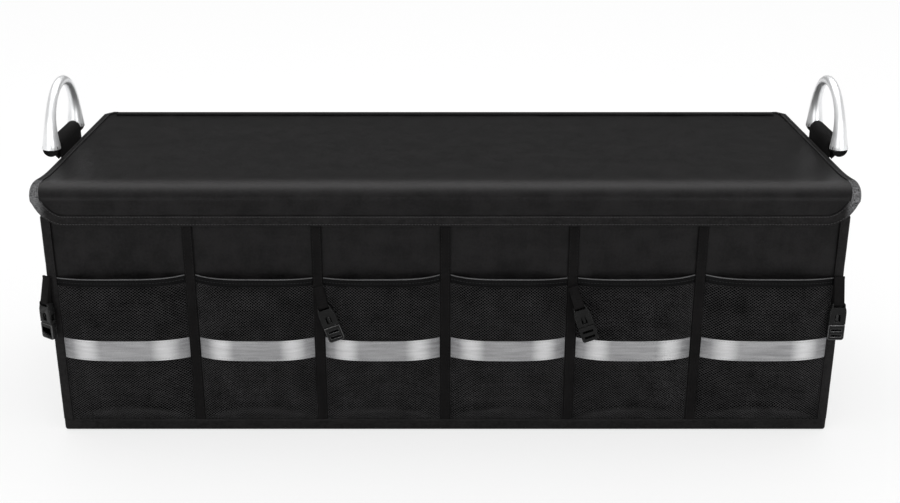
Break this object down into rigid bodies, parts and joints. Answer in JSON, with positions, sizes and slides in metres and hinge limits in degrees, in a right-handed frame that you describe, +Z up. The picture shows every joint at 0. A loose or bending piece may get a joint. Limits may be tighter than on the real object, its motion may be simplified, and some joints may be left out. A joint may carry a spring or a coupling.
{
  "type": "car organizer",
  "caption": "Long black folding car trunk organizer with a flapped lid, mesh front pockets, reflective tape and aluminium bail handles.",
  "frame": {"origin": "on the floor, under the middle of the box, on the underside of the base panel", "axes": "+Z up, +X along the length to the right as seen from the pockets, -Y out of the pocket side"},
  "size_m": [0.9448, 0.3444, 0.3869],
  "materials": {
    "oxford_cloth": "plain-woven coated Oxford cloth, faint sheen",
    "webbing": "ribbed woven webbing",
    "binding_tape": "grosgrain binding tape with lock stitching",
    "pocket_mesh": "diamond knit mesh",
    "reflective_tape": "silver retroreflective tape, stitched at both edges",
    "lining": "non-woven lining over stiffening boards",
    "aluminium": "satin polished",
    "black_plastic": "moulded glossy acetal"
  },
  "bodies": {
    "root": {"base_panel": "oxford_cloth", "front_panel": "oxford_cloth", "rear_panel": "oxford_cloth", "left_side_panel": "oxford_cloth", "right_side_panel": "oxford_cloth", "left_divider": "lining", "right_divider": "lining", "left_floor_board": "lining", "middle_floor_board": "lining", "right_floor_board": "lining", "base_binding": "binding_tape", "front_left_binding": "binding_tape", "front_right_binding": "binding_tape", "rear_left_binding": "binding_tape", "rear_right_binding": "binding_tape", "loop_tape": "binding_tape", "lid_hinge_tape": "binding_tape", "divider_band_1": "webbing", "divider_band_2": "webbing", "divider_band_3": "webbing", "divider_band_4": "webbing", "divider_band_5": "webbing", "mesh_pocket_1": "pocket_mesh", "mesh_pocket_2": "pocket_mesh", "mesh_pocket_3": "pocket_mesh", "mesh_pocket_4": "pocket_mesh", "mesh_pocket_5": "pocket_mesh", "mesh_pocket_6": "pocket_mesh", "reflective_strip_1": "reflective_tape", "reflective_strip_2": "reflective_tape", "reflective_strip_3": "reflective_tape", "reflective_strip_4": "reflective_tape", "reflective_strip_5": "reflective_tape", "reflective_strip_6": "reflective_tape", "left_handle_tab": "webbing", "right_handle_tab": "webbing", "left_corner_buckle_strap": "webbing", "left_middle_buckle_strap": "webbing", "right_middle_buckle_strap": "webbing", "right_corner_buckle_strap": "webbing", "left_corner_buckle_socket": "black_plastic", "left_middle_buckle_socket": "black_plastic", "right_middle_buckle_socket": "black_plastic", "right_corner_buckle_socket": "black_plastic"},
    "lid": {"lid_panel": "oxford_cloth", "lid_left_binding": "binding_tape", "lid_right_binding": "binding_tape"},
    "flap": {"lid_flap": "oxford_cloth", "flap_binding": "binding_tape", "hook_tape": "binding_tape"},
    "left_handle": {"left_handle_bar": "black_plastic", "left_handle_bail": "aluminium"},
    "right_handle": {"right_handle_bar": "black_plastic", "right_handle_bail": "aluminium"},
    "left_corner_plug": {"left_corner_buckle_plug": "black_plastic"},
    "left_middle_plug": {"left_middle_buckle_plug": "black_plastic"},
    "right_middle_plug": {"right_middle_buckle_plug": "black_plastic"},
    "right_corner_plug": {"right_corner_buckle_plug": "black_plastic"}
  },
  "joints": [
    {"name": "lid_hinge", "type": "hinge", "parent": "root", "child": "lid", "pos_m": [0, 0.164, 0.3005], "axis": [-1, 0, 0], "range_deg": [0, 225]},
    {"name": "flap_fold", "type": "hinge", "parent": "lid", "child": "flap", "pos_m": [0, -0.1672, 0.298], "axis": [-1, 0, 0], "range_deg": [0, 180]},
    {"name": "left_handle_swivel", "type": "hinge", "parent": "root", "child": "left_handle", "pos_m": [-0.4634, 0, 0.313], "axis": [0, -1, 0], "range_deg": [-90, 180]},
    {"name": "right_handle_swivel", "type": "hinge", "parent": "root", "child": "right_handle", "pos_m": [0.4634, 0, 0.313], "axis": [0, 1, 0], "range_deg": [-90, 180]},
    {"name": "left_corner_release", "type": "slide", "parent": "root", "child": "left_corner_plug", "axis": [0, 0, -1], "range_m": [0, 0.019]},
    {"name": "left_middle_release", "type": "slide", "parent": "root", "child": "left_middle_plug", "axis": [0.342, 0, -0.9397], "range_m": [0, 0.019]},
    {"name": "right_middle_release", "type": "slide", "parent": "root", "child": "right_middle_plug", "axis": [0.342, 0, -0.9397], "range_m": [0, 0.019]},
    {"name": "right_corner_release", "type": "slide", "parent": "root", "child": "right_corner_plug", "axis": [0, 0, -1], "range_m": [0, 0.019]}
  ]
}
